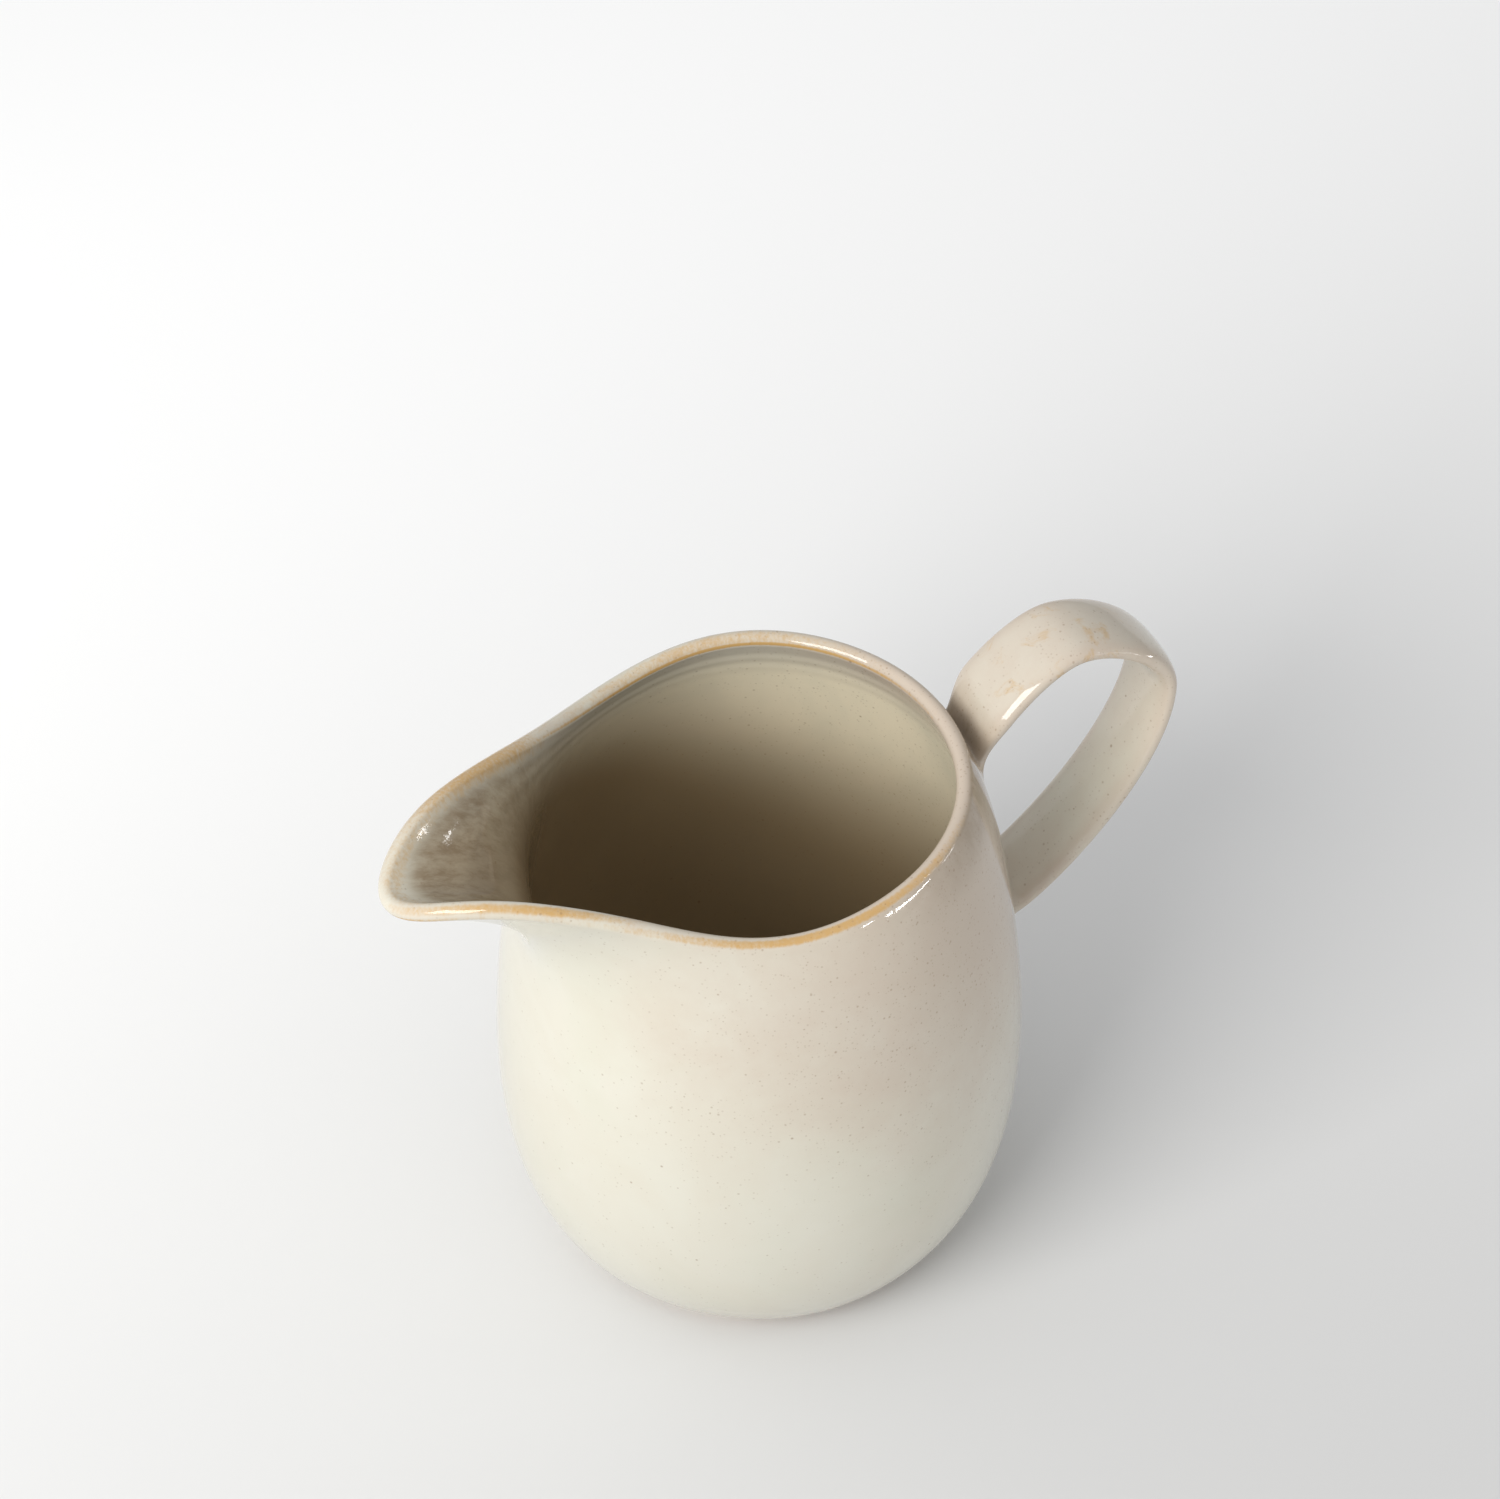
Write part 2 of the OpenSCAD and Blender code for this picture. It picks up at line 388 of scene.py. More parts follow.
def make_mesh(name, rings, looped=False, fields=None):
    """A closed mesh over rings with equal numbers of points. Rings that don't loop are capped by a fan
    at each end. fields are numbers kept at the points for the glaze, one for each point of each ring."""
    rings = np.asarray(rings)
    count, points = rings.shape[:2]
    base = np.arange(count if looped else count - 1)[:, None] * points
    step = ((np.arange(len(base)) + 1) % count)[:, None] * points
    here = np.arange(points)[None, :]
    after = (here + 1) % points
    faces = np.stack([base + here, base + after, step + after, step + here], axis=-1).reshape(-1, 4)
    vertices = rings.reshape(-1, 3)
    faces = faces.tolist()
    fields = {key: np.asarray(value, float).reshape(-1) for key, value in (fields or {}).items()}
    if not looped:
        for ring in (0, count - 1):
            centre = len(vertices)
            vertices = np.vstack([vertices, rings[ring].mean(0)])
            faces += [[ring * points + j, ring * points + (j + 1) % points, centre] for j in range(points)]
            for key, value in fields.items():
                fields[key] = np.append(value, value[ring * points])
    mesh = bpy.data.meshes.new(name)
    mesh.from_pydata((vertices * MM).tolist(), [], faces)
    mesh.validate()
    for key, value in fields.items():
        mesh.attributes.new(key, "FLOAT", "POINT").data.foreach_set("value", value.astype(np.float32))
    work = bmesh.new()
    work.from_mesh(mesh)
    bmesh.ops.recalc_face_normals(work, faces=work.faces)
    work.to_mesh(mesh)
    work.free()
    mesh.shade_smooth()
    mesh.set_sharp_from_angle(angle=math.radians(CREASE_ANGLE))
    piece = bpy.data.objects.new(name, mesh)
    bpy.context.scene.collection.objects.link(piece)
    return piece


def finish_piece(piece, material, slot, *nodes):
    piece.data.materials.append(material)
    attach(piece, "root")
    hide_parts(*nodes)


# ---------------------------------------------------------------- the camera's side

# The camera looks down at the pitcher from its front left. Directions are turned by its azimuth,
# so that right is to the camera's right and away is straight away from it over the floor.
CAMERA_AZIMUTH = -26.56
CAMERA_ELEVATION = 45.48
CAMERA_DISTANCE = 0.99132
CAMERA_LENS = 108.0
SENSOR_WIDTH = 36.0
AIM_RIGHT = -0.00194
AIM_RISE = 0.00795
FLOOR_REACH = 3.0
FLOOR_STEPS = 24
STRIP_DISTANCE = 0.6
STRIP_GLOW = 34.0
WORLD_LEVEL = 0.49
WORLD_LEAN = (-0.22, -0.06, 0.26)
WORLD_TINT = (0.985, 0.992, 1.0, 1)
WINDOW_PLACE = (-141, 37, 1.5)
WINDOW_SIZE = (0.85, 0.7)
WINDOW_POWER = 17.5
WINDOW_TINT = (1.0, 0.99, 0.965)
EXPOSURE = 0.06

CAMERA_TURN = math.radians(CAMERA_AZIMUTH)
RIGHT = Vector((math.cos(CAMERA_TURN), math.sin(CAMERA_TURN), 0))
AWAY = Vector((-math.sin(CAMERA_TURN), math.cos(CAMERA_TURN), 0))
RISE = Vector((0, 0, 1))
rim_centre = Vector((0, 0, RIM_HEIGHT * MM))


def seen(right, away, rise):
    """A place given from the camera's side: metres right, away over the floor, and up."""
    return RIGHT * right + AWAY * away + RISE * rise


# ---------------------------------------------------------------- materials

class Shader:
    """A node material, built by calls that add a node and join its inputs."""

    def __init__(self, name):
        self.material = bpy.data.materials.new(name)
        self.material.use_nodes = True
        self.tree = self.material.node_tree
        self.tree.nodes.clear()
        self.surface = self.node("ShaderNodeBsdfPrincipled")
        output = self.node("ShaderNodeOutputMaterial")
        self.tree.links.new(self.surface.outputs["BSDF"], output.inputs["Surface"])

    def node(self, kind, **settings):
        made = self.tree.nodes.new(kind)
        for key, value in settings.items():
            setattr(made, key, value)
        return made

    def join(self, socket, value):
        if isinstance(value, bpy.types.NodeSocket):
            self.tree.links.new(value, socket)
        elif isinstance(value, tuple) and len(value) == 3 and socket.type == "RGBA":
            socket.default_value = (*value, 1.0)
        else:
            socket.default_value = value

    def math(self, operation, a, b=0.0, c=0.0, clamp=False):
        made = self.node("ShaderNodeMath", operation=operation, use_clamp=clamp)
        for socket, value in zip(made.inputs, (a, b, c)):
            self.join(socket, value)
        return made.outputs[0]

    def ramp(self, value, low, high, first=0.0, last=1.0):
        """first below low, last above high, and smooth between them."""
        made = self.node("ShaderNodeMapRange", interpolation_type="SMOOTHSTEP")
        names = ("Value", "From Min", "From Max", "To Min", "To Max")
        for key, number in zip(names, (value, low, high, first, last)):
            self.join(made.inputs[key], number)
        return made.outputs["Result"]

    def mix(self, factor, a, b, blend="MIX"):
        made = self.node("ShaderNodeMix", data_type="RGBA", blend_type=blend)
        self.join(made.inputs["Factor"], factor)
        self.join(made.inputs["A"], a)
        self.join(made.inputs["B"], b)
        return made.outputs["Result"]

    def place(self, stretch=(1.0, 1.0, 1.0)):
        """Points of the object, in metres, stretched for a texture."""
        made = self.node("ShaderNodeMapping")
        made.inputs["Scale"].default_value = stretch
        self.join(made.inputs["Vector"], self.coordinates())
        return made.outputs["Vector"]

    def coordinates(self):
        if not hasattr(self, "source"):
            self.source = self.node("ShaderNodeTexCoord").outputs["Object"]
        return self.source

    def noise(self, scale, detail=3.0, roughness=0.55, stretch=(1.0, 1.0, 1.0), distortion=0.0):
        made = self.node("ShaderNodeTexNoise")
        self.join(made.inputs["Vector"], self.place(stretch))
        made.inputs["Scale"].default_value = scale
        made.inputs["Detail"].default_value = detail
        made.inputs["Roughness"].default_value = roughness
        made.inputs["Distortion"].default_value = distortion
        return made.outputs["Fac"]

    def specks(self, spacing, size, share):
        """Dots a spacing apart in metres. share is how many cells hold one, and size is in cells."""
        cells = self.node("ShaderNodeTexVoronoi", feature="F1")
        self.join(cells.inputs["Vector"], self.place())
        cells.inputs["Scale"].default_value = 1 / spacing
        parts = self.node("ShaderNodeSeparateColor")
        self.join(parts.inputs["Color"], cells.outputs["Color"])
        chosen = self.math("LESS_THAN", parts.outputs["Red"], share)
        width = self.math("MULTIPLY", self.math("ADD", parts.outputs["Green"], 0.4), size)
        dot = self.ramp(cells.outputs["Distance"], self.math("MULTIPLY", width, 0.4), width, 1.0, 0.0)
        return self.math("MULTIPLY", dot, chosen)

    def field(self, name):
        """Numbers that the mesh keeps at its points."""
        return self.node("ShaderNodeAttribute", attribute_name=name).outputs["Fac"]

    def bump(self, height, strength, distance, normal=None):
        made = self.node("ShaderNodeBump")
        made.inputs["Strength"].default_value = strength
        made.inputs["Distance"].default_value = distance
        self.join(made.inputs["Height"], height)
        if normal is not None:
            self.join(made.inputs["Normal"], normal)
        return made.outputs["Normal"]


CREAM = (0.605, 0.588, 0.51)
WARM_CREAM = (0.58, 0.543, 0.455)
BLUSH = (0.51, 0.425, 0.345)
CELADON = (0.53, 0.545, 0.44)
AMBER = (0.50, 0.315, 0.125)
# The lining colour is painted lighter for the light falling inside, and the deep lining colour is painted
# shade deep inside
LIT_LINING = (0.83, 0.75, 0.57)
DEEP_SHADE = (0.32, 0.24, 0.14)
# Dark brown of pooled glaze, also painted as shade in the handle's crotches and under the lip
POOL_AND_SHADE = (0.25, 0.185, 0.112)
IRON = (0.20, 0.11, 0.05)
BUFF = (0.55, 0.44, 0.33)
DARK_BUFF = (0.42, 0.32, 0.22)
PALE_BUFF = (0.62, 0.52, 0.41)
PAPER = (0.985, 0.985, 0.985)
# Paper colour for the painted shade on the floor
SHADED_PAPER = (0.55, 0.55, 0.55)


def glaze_material(name, lined):
    """The cream glaze. It breaks to amber where it runs thin over the lip, pools darker in hollows,
    with painted shade added in the handle's crotches and under the lip, and carries iron specks. A lined
    one is painted lighter below the rim and darkens to painted shade as it goes down inside, sooner on the
    spout's side."""
    s = Shader(name)
    lip_way = s.field("lip_way")
    thin = s.field("thin")
    pool_and_shade = s.field("pool_and_shade")
    side = s.field("side")

    clouds = s.noise(22, 4, 0.6, distortion=0.6)
    fine = s.noise(160, 4, 0.65)
    runs = s.noise(150, 3, 0.6, stretch=(1, 1, 0.16))
    colour = s.mix(s.ramp(clouds, 0.3, 0.75, 0.0, 0.8), CREAM, WARM_CREAM)
    colour = s.mix(s.math("MULTIPLY", s.ramp(s.noise(26, 3, 0.6), 0.46, 0.7), 0.22), colour, CELADON)
    # Blush where the glaze lies thinner, more of it on the upper side away from the spout
    patches = s.math("MULTIPLY_ADD", s.noise(17, 2), 0.8, s.math("MULTIPLY_ADD", fine, 0.35, side))
    blush = s.math("MULTIPLY", s.ramp(patches, 0.75, 1.6), 0.9)
    colour = s.mix(blush, colour, BLUSH)
    colour = s.mix(s.math("MULTIPLY", thin, s.ramp(runs, 0.3, 0.7, 0.35, 0.8)), colour, BLUSH)

    if lined:
        inward = s.field("inward")
        lining = s.mix(s.ramp(clouds, 0.3, 0.7), LIT_LINING, s.mix(0.35, LIT_LINING, CELADON))
        # Painted light and shade on the lining: painted lighter below the rim, turning to painted shade
        # deeper in, sooner on the spout's side
        lining = s.mix(s.ramp(inward, 7.0, 92.0), lining, DEEP_SHADE)
        colour = s.mix(s.ramp(lip_way, 1.8, 18.0), colour, lining)

    streaks = s.noise(420, 4, 0.7, stretch=(0.3, 1, 0.4), distortion=0.2)
    # Darker where the glaze pools, and painted shade in the handle's crotches and under the lip
    pooled_and_shaded = s.math("MULTIPLY", pool_and_shade, s.ramp(streaks, 0.3, 0.7, 0.68, 1.0), clamp=True)
    colour = s.mix(pooled_and_shaded, colour, POOL_AND_SHADE)

    # The amber break, frayed by short runs across the lip
    teeth = s.noise(1300, 2, 0.6, stretch=(1, 1, 0.25))
    frayed = s.math("MULTIPLY_ADD", teeth, 0.7, s.math("MULTIPLY_ADD", runs, 0.35, -0.52))
    amber = s.ramp(s.math("ADD", s.field("gild"), frayed), 0.15, 1.0)
    colour = s.mix(amber, colour, AMBER)
    stain = s.ramp(s.noise(110, 5, 0.7, distortion=0.5), 0.55, 0.68, 0.0, 0.5)
    stain = s.math("MULTIPLY", stain, s.field("stain"))
    colour = s.mix(stain, colour, AMBER)

    share = s.ramp(s.math("MULTIPLY_ADD", side, 0.9, s.noise(40, 2)), 0.45, 1.4, 0.05, 0.5)
    grains = s.specks(0.0008, 0.32, share)
    dots = s.specks(0.0014, 0.22, share)
    larger = s.specks(0.0050, 0.075, 0.3)
    colour = s.mix(s.math("MULTIPLY", grains, 0.22), colour, IRON)
    colour = s.mix(s.math("MULTIPLY", dots, 0.34), colour, IRON)
    colour = s.mix(s.math("MULTIPLY", larger, 0.5), colour, IRON)

    s.join(s.surface.inputs["Base Color"], colour)
    s.join(s.surface.inputs["Roughness"], s.ramp(fine, 0.3, 0.75, 0.035, 0.08))
    s.surface.inputs["IOR"].default_value = 1.5
    peel = s.bump(s.noise(420, 2, 0.5), 0.05, 0.0002)
    pits = s.bump(s.math("MAXIMUM", dots, larger), -0.25, 0.00015, peel)
    s.join(s.surface.inputs["Normal"], pits)
    return s.material


def clay_material(name):
    """Buff stoneware, bare at the foot: dry, grained, with iron specks and turning marks."""
    s = Shader(name)
    colour = s.mix(s.noise(45, 4, 0.6), DARK_BUFF, BUFF)
    colour = s.mix(s.math("MULTIPLY", s.noise(900, 3, 0.7), 0.5), colour, PALE_BUFF)
    specks = s.specks(0.0016, 0.24, 0.3)
    colour = s.mix(s.math("MULTIPLY", specks, 0.8), colour, IRON)
    s.join(s.surface.inputs["Base Color"], colour)
    s.join(s.surface.inputs["Roughness"], s.ramp(s.noise(300, 3), 0.3, 0.7, 0.68, 0.9))
    grain = s.bump(s.noise(1500, 4, 0.7), 0.35, 0.00025)
    s.join(s.surface.inputs["Normal"], s.bump(specks, 0.3, 0.0002, grain))
    return s.material


def floor_material(name):
    """Pale paper with painted shade that deepens softly towards the near right."""
    s = Shader(name)
    parts = s.node("ShaderNodeVectorMath", operation="DOT_PRODUCT")
    s.join(parts.inputs[0], s.coordinates())
    parts.inputs[1].default_value = seen(0.536, -0.844, 0)
    # Painted shade over the floor, deepening towards the near right
    fade = s.ramp(parts.outputs["Value"], -0.46, 0.28)
    s.join(s.surface.inputs["Base Color"], s.mix(fade, PAPER, SHADED_PAPER))
    s.surface.inputs["Roughness"].default_value = 0.9
    s.surface.inputs["Specular IOR Level"].default_value = 0.1
    return s.material


cream_glaze = glaze_material("cream_glaze", lined=False)
lining_glaze = glaze_material("lining_glaze", lined=True)
bare_clay = clay_material("bare_stoneware")


# ---------------------------------------------------------------- glaze fields

def way_from_lip(rings):
    """Way along the profile from the lip's crest, for rings that lead away from the lip."""
    steps = np.linalg.norm(np.diff(np.asarray(rings), axis=0), axis=-1)
    return np.vstack([np.zeros(steps.shape[1]), np.cumsum(steps, axis=0)])


FAR_FROM_LIP = 90.0


def side_of(points):
    """1 on the upper side of the pot towards the handle and the front, falling to 0 at the spout."""
    points = np.asarray(points)
    turn = np.arctan2(points[..., 1], points[..., 0])
    toward = 0.5 + 0.5 * np.cos(turn + math.radians(35))
    return toward * smooth(points[..., 2], 20, 120)


def no_fields(rings):
    zero = np.zeros(np.asarray(rings).shape[:2])
    names = ("thin", "pool_and_shade", "stain", "gild")
    blank = {name: zero.copy() for name in names}
    return {"lip_way": zero - FAR_FROM_LIP, "side": side_of(rings), **blank}


# Where the glaze breaks to amber round the lip: the middle and the spread of it in degrees from the
# spout's centre, where it starts and ends in mm from the crest, outside below 0, and its strength.
FRONT_BREAK = (82, 52, -2.7, -0.7, 0.95)
SPOUT_NEAR_BREAK = (19, 17, -0.9, 1.5, 0.85)
SPOUT_TIP_BREAK = (-3, 13, -3.2, -1.6, 1.0)
SPOUT_FAR_BREAK = (-24, 20, -3.4, 5.2, 0.78)
SPOUT_HOLLOW_BREAK = (-6, 20, 1.0, 6.5, 0.5)
BACK_BREAK = (-105, 72, 1.6, 2.4, 1.2)
BACK_WASH = (-98, 58, -1.4, 2.2, 0.58)
BREAK_EDGE = 0.32
CREST_THINNING = 0.6
STRAP_EDGE_THINNING = 1.0
STRAP_BLUSH = 0.58
CREST_SPREAD = 3.2

# Brown runs with painted shade under the lip by the handle, the pool in the spout and the painted shade
# that darkens the lining sooner on the spout's side: the middle and the spread of each in degrees from the
# spout's centre, and its strength.
RUNS_AND_LIP_SHADE = (150, 30, 0.8)
SPOUT_POOL = (-8, 42, 1.0)
INSIDE_SHADE = (-38, 50, 2.0)
POOL_START = 1.5
POOL_RETREAT = 4.5


def strength_round(middle, spread, strength):
    return strength * bell(ANGLES - middle, spread)


def break_over_lip(way):
    """How thin the glaze has run over the lip, for each point of rings that have a lip way."""
    thinned = np.zeros_like(way)
    for centre, spread, start, end, strength in (
        FRONT_BREAK, SPOUT_NEAR_BREAK, SPOUT_TIP_BREAK, SPOUT_FAR_BREAK, SPOUT_HOLLOW_BREAK,
        BACK_BREAK, BACK_WASH,
    ):
        around = strength_round(centre, spread, strength)
        edge = BREAK_EDGE * (end - start)
        band = smooth(way, start - edge, start + edge) * (1 - smooth(way, end - edge, end + edge))
        thinned = np.maximum(thinned, around * band)
    return thinned


# ---------------------------------------------------------------- pieces

def outer_glaze():
    edge = GLAZE_EDGE * np.linspace(0, 1, EDGE_RINGS)
    ts = np.concatenate([edge[:-1], np.linspace(GLAZE_EDGE, 1, WALL_RINGS)])
    taper = COAT * (0.25 + 0.75 * smooth(ts, 0, GLAZE_EDGE))
    faces = [wall_ring(t, 1, c) for t, c in zip(ts, taper)]
    lip = [lip_ring(r, COAT) for r in np.linspace(0, 90, LIP_RINGS)[1:]]
    under_lip = [lip_ring(r, 0) for r in np.linspace(90, 0, LIP_RINGS)[:-1]]
    back = [wall_ring(t, 1, 0) for t in ts[::-1]]
    rings = np.array(faces + lip + under_lip + back)
    fields = no_fields(rings)
    lip_end = len(faces) + len(lip)
    way = -way_from_lip(rings[:lip_end][::-1])[::-1]
    fields["lip_way"][:lip_end] = way
    fields["gild"][:lip_end] = break_over_lip(way)
    fields["thin"][:lip_end] = CREST_THINNING * bell(way, CREST_SPREAD)
    # Brown runs in the glaze, with painted shade, just under the lip on the side towards the handle
    runs = smooth(-way, 1.0, 3.0) * (1 - smooth(-way, 5, 18))
    fields["pool_and_shade"][:lip_end] = runs * strength_round(*RUNS_AND_LIP_SHADE)
    return make_mesh("glaze_outside", rings, looped=True, fields=fields)


def throwing_rings(rings, ts):
    """Fine rings left by the fingers inside, strongest just under the rim."""
    moved = rings.copy()
    for ring, t in zip(moved, ts):
        height = wall_line(t)[1]
        depth = RING_DEPTH * bell(height - RING_HEIGHT, RING_SPREAD) * (1 - smooth(height, 134, 138))
        phase = 2 * math.pi * height / RING_SPACING + np.radians(ANGLES)
        ring += wall_normal(ANGLES, np.full_like(ANGLES, t)) * (depth * np.sin(phase))[:, None]
    return moved


def floor_rings(height):
    """Level rings over the inside floor, with a shallow spiral left by the throwing."""
    rings = [level_ring(FLOOR_RADIUS, height)]
    for share in np.linspace(0, 1, FLOOR_RINGS)[1:]:
        radius = FLOOR_RADIUS * (1 - share) + CENTRE_RADIUS * share
        ring = level_ring(radius, height)
        phase = 2 * math.pi * radius / FLOOR_SPIRAL_SPACING + np.radians(ANGLES)
        ring[:, 2] += FLOOR_SPIRAL_DEPTH * np.sin(phase) * smooth(radius, 1, 8)
        rings.append(ring)
    return rings


INNER_BASE = wall_ring(0, -1, 0)
INNER_BASE_RADIUS = float(np.mean(np.hypot(INNER_BASE[:, 0], INNER_BASE[:, 1])))
INNER_BASE_HEIGHT = float(np.mean(INNER_BASE[:, 2]))
FLOOR_RADIUS = INNER_BASE_RADIUS - FLOOR_INSET


def inner_glaze():
    ts = np.linspace(1, 0, WALL_RINGS)
    lip = [lip_ring(r, COAT) for r in np.linspace(90, 180, LIP_RINGS)]
    wall = throwing_rings(np.array([wall_ring(t, -1, COAT) for t in ts[1:]]), ts[1:])
    floor_height = INNER_BASE_HEIGHT - FLOOR_STEP
    face = np.array(lip + list(wall) + floor_rings(floor_height + COAT))
    back_lip = [lip_ring(r, 0) for r in np.linspace(180, 90, LIP_RINGS)]
    back_wall = [wall_ring(t, -1, 0) for t in ts[::-1][:-1]]
    back_floor = [level_ring(r, floor_height) for r in (CENTRE_RADIUS, FLOOR_RADIUS)]
    rings = np.concatenate([face, back_floor, back_wall, back_lip])
    fields = no_fields(rings)
    way = way_from_lip(face)
    fields["lip_way"][: len(face)] = way
    # The glaze pools streaky and darker down the throat of the spout
    start = POOL_START + POOL_RETREAT * bell(ANGLES - 4, 9)
    throat = smooth(way, start, start + 7) * (1 - smooth(way, 60, 90))
    fields["pool_and_shade"][: len(face)] = throat * strength_round(*SPOUT_POOL)
    # How far in the lining lies, for its painted shade: counted further on the spout's side, so the painted
    # shade comes sooner there
    fields["inward"] = np.zeros_like(fields["pool_and_shade"])
    fields["inward"][: len(face)] = way * (1 + strength_round(*INSIDE_SHADE))
    fields["gild"][: len(face)] = break_over_lip(way)
    fields["thin"][: len(face)] = CREST_THINNING * bell(way, CREST_SPREAD)
    return make_mesh("glaze_lining", rings, looped=True, fields=fields)


def foot_rings():
    """The underside from the centre out: a shallow turned spiral, the foot ring and the wall's bevel."""
    outer = FOOT_DIAMETER / 2
    inner = outer - FOOT_WIDTH
    rings = []
    for radius in np.linspace(CENTRE_RADIUS, inner - FOOT_HOLLOW - SPIRAL_MARGIN, SPIRAL_RINGS):
        ring = level_ring(radius, FOOT_HEIGHT)
        phase = 2 * math.pi * radius / UNDER_SPIRAL_SPACING + np.radians(ANGLES)
        ring[:, 2] += UNDER_SPIRAL_DEPTH * np.sin(phase) * smooth(radius, 1, 5)
        rings.append(ring)
    quarter = np.linspace(0, 90, ROUNDING_RINGS)
    for out, up in map(turned, quarter[::-1]):
        rings.append(level_ring(inner - FOOT_HOLLOW * (1 - out), FOOT_HEIGHT - FOOT_HOLLOW * (1 - up)))
    for edge, inward, turns in ((inner, 1, quarter), (outer, -1, quarter[::-1])):
        for sideways, down in map(turned, turns):
            radius = edge + inward * FOOT_ROUNDING * (1 - sideways)
            rings.append(level_ring(radius, FOOT_ROUNDING * (1 - down) + STANDING_HEIGHT))
    rings.append(level_ring(outer, FOOT_HEIGHT - FOOT_CHAMFER))
    rings.append(level_ring(outer + FOOT_CHAMFER, FOOT_HEIGHT))
    rings.append(level_ring(BASE_DIAMETER / 2 - BEVEL, FOOT_HEIGHT))
    return rings


def clay_body():
    ts = np.linspace(0, 1, WALL_RINGS)
    rings = foot_rings()
    rings += [wall_ring(t, 1, UNDER_GLAZE) for t in ts]
    rings += [lip_ring(r, UNDER_GLAZE) for r in np.linspace(0, 180, 2 * LIP_RINGS)[1:-1]]
    rings += [wall_ring(t, -1, UNDER_GLAZE) for t in ts[::-1]]
    floor_height = INNER_BASE_HEIGHT - FLOOR_STEP + UNDER_GLAZE
    rings += [level_ring(r, floor_height) for r in (FLOOR_RADIUS, CENTRE_RADIUS)]
    return make_mesh("clay_body", np.array(rings))


def strap_rings(coat):
    return np.array([strap_ring(u, coat) for u in np.linspace(UPPER_SEAM, LOWER_SEAM, STRAP_RINGS)])


def strap_edge_thinning():
    across, _ = strap_section()
    return STRAP_EDGE_THINNING * smooth(np.abs(across), 0.55, 0.95)


def strap_fields(rings, us):
    """On the strap the glaze thins over both edges, and iron has stained it here and there."""
    fields = no_fields(rings)
    fields["thin"] = np.tile(strap_edge_thinning(), (len(rings), 1))
    fields["side"] = np.full_like(fields["side"], STRAP_BLUSH)
    fields["stain"] = np.repeat(1 - smooth(us, 1.2, 2.2), rings.shape[1]).reshape(len(rings), -1)
    return fields


def strap_glaze():
    us = np.linspace(UPPER_SEAM, LOWER_SEAM, STRAP_RINGS)
    rings = np.concatenate([strap_rings(COAT), strap_rings(0)[::-1]])
    fields = strap_fields(rings, np.concatenate([us, us[::-1]]))
    return make_mesh("glaze_strap", rings, looped=True, fields=fields)


def strap_clay():
    return make_mesh("clay_strap", strap_rings(UNDER_GLAZE))


def joint(name, seam, root, toward, footprint, crotch_pool_and_shade):
    """A luted joint: each line of it leaves the strap's end along the strap and turns out to lie
    along the wall. toward is 1 where the strap runs into the wall and -1 where it runs out of it.
    footprint gives the joint's spread across, up and down the wall from the root."""
    across, out = strap_section()
    start = strap_ring(seam, COAT)
    heading = strap_heading(seam) * toward
    leave = in_plane(heading, np.zeros(STRAP_POINTS))
    spread, rise, drop = footprint
    # On the wall the handle side is at 180 degrees from the spout
    facing = -toward * out
    up = np.where(facing > 0, rise, drop) * facing
    angle = 180 + np.degrees(spread * across / wall_radius(root))
    t_root = wall_t_at(root)
    climb_length = np.linalg.norm(wall_line(t_root + ROOT_STEP) - wall_line(t_root)) / ROOT_STEP
    t = t_root + up / climb_length
    normal = wall_normal(angle, t)
    end = wall_point(angle, t) + normal * (clay_at(t) / 2 + COAT - JOINT_SINK)[:, None]
    centre = wall_point(180.0, t_root)
    away = end - centre
    away -= normal * np.sum(away * normal, axis=-1, keepdims=True)
    away = unit(away)
    gap = np.linalg.norm(end - start, axis=-1, keepdims=True)
    curve = [start, start + leave * gap * JOINT_PULL, end - away * gap * JOINT_GRIP, end]
    rings = [bezier(curve, along) for along in np.linspace(0, 1, JOINT_RINGS)]
    rings.append(end + away * 0.8 - normal * 0.35)
    rings.append(end * 0.6 + centre * 0.4 - normal * 1.5)
    rings = np.array(rings)
    fields = no_fields(rings)
    share = np.linspace(0, 1, JOINT_RINGS)[:, None]
    blend = 1 - smooth(share, 0.0, 0.8)
    fields["thin"][:JOINT_RINGS] = blend * strap_edge_thinning()
    fields["side"][:JOINT_RINGS] = STRAP_BLUSH * blend + side_of(rings[:JOINT_RINGS]) * (1 - blend)
    # Painted shade in the crotch between strap and wall, over glaze pooled there
    crotch_shade = smooth(facing, -0.6, 0.8) * bell(share - 0.65, 0.4)
    fields["pool_and_shade"][:JOINT_RINGS] = crotch_pool_and_shade * crotch_shade
    return make_mesh(name, rings, fields=fields)


finish_piece(clay_body(), bare_clay, "clay", "body")
finish_piece(strap_clay(), bare_clay, "clay", "handle")
finish_piece(outer_glaze(), cream_glaze, "cream_glaze", "outer_glaze")
finish_piece(inner_glaze(), lining_glaze, "lining_glaze", "inner_glaze")
finish_piece(strap_glaze(), cream_glaze, "cream_glaze", "handle_glaze")
finish_piece(
    joint("joint_upper", UPPER_SEAM, UPPER_ROOT_HEIGHT, -1, UPPER_FOOTPRINT, 0.5),
    cream_glaze, "cream_glaze", "upper_joint",
)
finish_piece(
    joint("joint_lower", LOWER_SEAM, LOWER_ROOT_HEIGHT, 1, LOWER_FOOTPRINT, 0.25),
    cream_glaze, "cream_glaze", "lower_joint",
)


# ---------------------------------------------------------------- stage, light and camera

def look_at(thing, place, target):
    thing.location = place
    thing.rotation_mode = "QUATERNION"
    thing.rotation_quaternion = (Vector(target) - Vector(place)).to_track_quat("-Z", "Y")


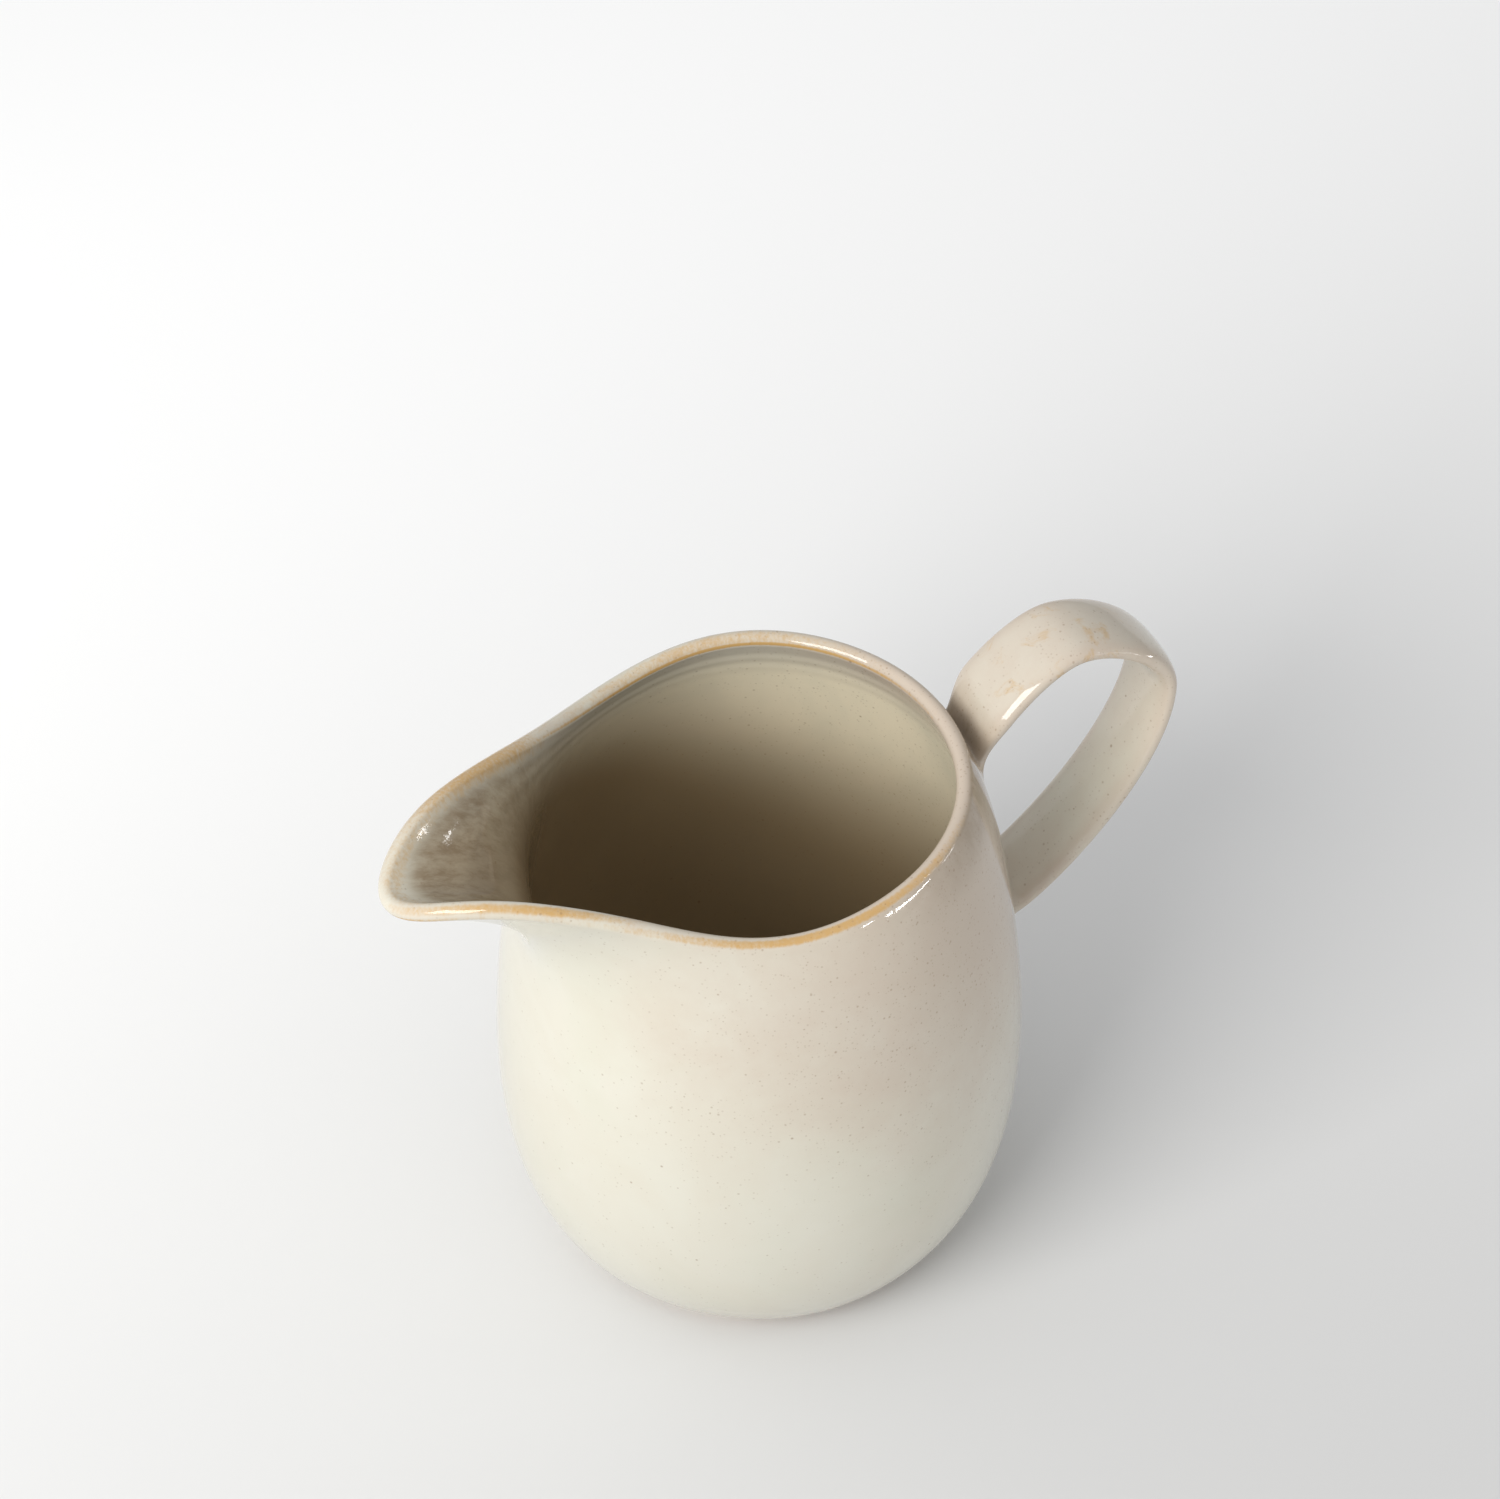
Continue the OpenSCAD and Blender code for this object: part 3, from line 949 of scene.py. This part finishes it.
def floor():
    mesh = bpy.data.meshes.new("floor")
    work = bmesh.new()
    bmesh.ops.create_grid(work, x_segments=FLOOR_STEPS, y_segments=FLOOR_STEPS, size=FLOOR_REACH)
    work.to_mesh(mesh)
    work.free()
    made = bpy.data.objects.new("floor", mesh)
    made.location = (0, 0, cad_low.z)
    mesh.materials.append(floor_material("floor_paper"))
    bpy.context.scene.collection.objects.link(made)


def area_light(name, place, target, size, power, colour, roll=0.0):
    data = bpy.data.lights.new(name, "AREA")
    data.shape = "RECTANGLE"
    data.size, data.size_y = size
    data.energy = power
    data.color = colour
    made = bpy.data.objects.new(name, data)
    look_at(made, place, target)
    made.rotation_quaternion @= Quaternion((0, 0, 1), math.radians(roll))
    made.visible_camera = False
    bpy.context.scene.collection.objects.link(made)


def camera():
    data = bpy.data.cameras.new("camera")
    data.lens = CAMERA_LENS
    data.sensor_width = SENSOR_WIDTH
    data.clip_start, data.clip_end = 0.05, 20
    made = bpy.data.objects.new("camera", data)
    tilt = math.radians(CAMERA_ELEVATION)
    back = CAMERA_DISTANCE * math.cos(tilt)
    place = rim_centre + seen(0, -back, CAMERA_DISTANCE * math.sin(tilt))
    look_at(made, place, rim_centre + seen(AIM_RIGHT, 0, AIM_RISE))
    bpy.context.scene.collection.objects.link(made)
    bpy.context.scene.camera = made


def world():
    """Soft light from all round, brighter overhead and towards the window, darker low on the other side."""
    made = bpy.data.worlds.new("studio")
    made.use_nodes = True
    tree = made.node_tree
    background = tree.nodes["Background"]
    background.inputs["Color"].default_value = WORLD_TINT
    direction = tree.nodes.new("ShaderNodeTexCoord").outputs["Generated"]
    lean = tree.nodes.new("ShaderNodeVectorMath")
    lean.operation = "DOT_PRODUCT"
    lean.inputs[1].default_value = seen(*WORLD_LEAN)
    tree.links.new(direction, lean.inputs[0])
    level = tree.nodes.new("ShaderNodeMath")
    level.inputs[1].default_value = WORLD_LEVEL
    tree.links.new(lean.outputs["Value"], level.inputs[0])
    tree.links.new(level.outputs[0], background.inputs["Strength"])
    bpy.context.scene.world = made


floor()
camera()
world()


def at(azimuth, elevation, distance):
    """A place round the pitcher: azimuth 0 is straight away from the camera and 90 to its right."""
    turn_right, lift = math.radians(azimuth), math.radians(elevation)
    level = distance * math.cos(lift)
    return seen(level * math.sin(turn_right), level * math.cos(turn_right), distance * math.sin(lift))


pot_middle = seen(0, 0, 0.08)
FRONT_LIP = seen(0.03, -0.045, 0.133)
SPOUT_HOLLOW = seen(-0.070, -0.030, 0.146)
area_light("window", at(*WINDOW_PLACE), pot_middle, WINDOW_SIZE, WINDOW_POWER, WINDOW_TINT)
# Small bright strips low to the right, which the lip and the spout mirror as thin window lights:
# azimuth and elevation from the place that mirrors them, width, height and roll
for number, (mirror, azimuth, lift, width, height, roll) in enumerate([
    (FRONT_LIP, 133.7, -1.0, 0.059, 0.010, 0),
    (FRONT_LIP, 121.5, -5.0, 0.038, 0.010, 0),
    (FRONT_LIP, 106.0, -8.0, 0.250, 0.009, -7),
    (FRONT_LIP, 80.0, -5.0, 0.120, 0.014, 20),
    (SPOUT_HOLLOW, 91.0, 17.0, 0.003, 0.200, 38),
]):
    place = mirror + at(azimuth, lift, STRIP_DISTANCE)
    power = STRIP_GLOW * math.pi * width * height
    area_light(f"strip_{number}", place, mirror, (width, height), power, (1, 1, 1), roll)

scene = bpy.context.scene
scene.view_settings.view_transform = "Standard"
scene.view_settings.look = "None"
scene.view_settings.exposure = EXPOSURE
scene.view_settings.gamma = 1
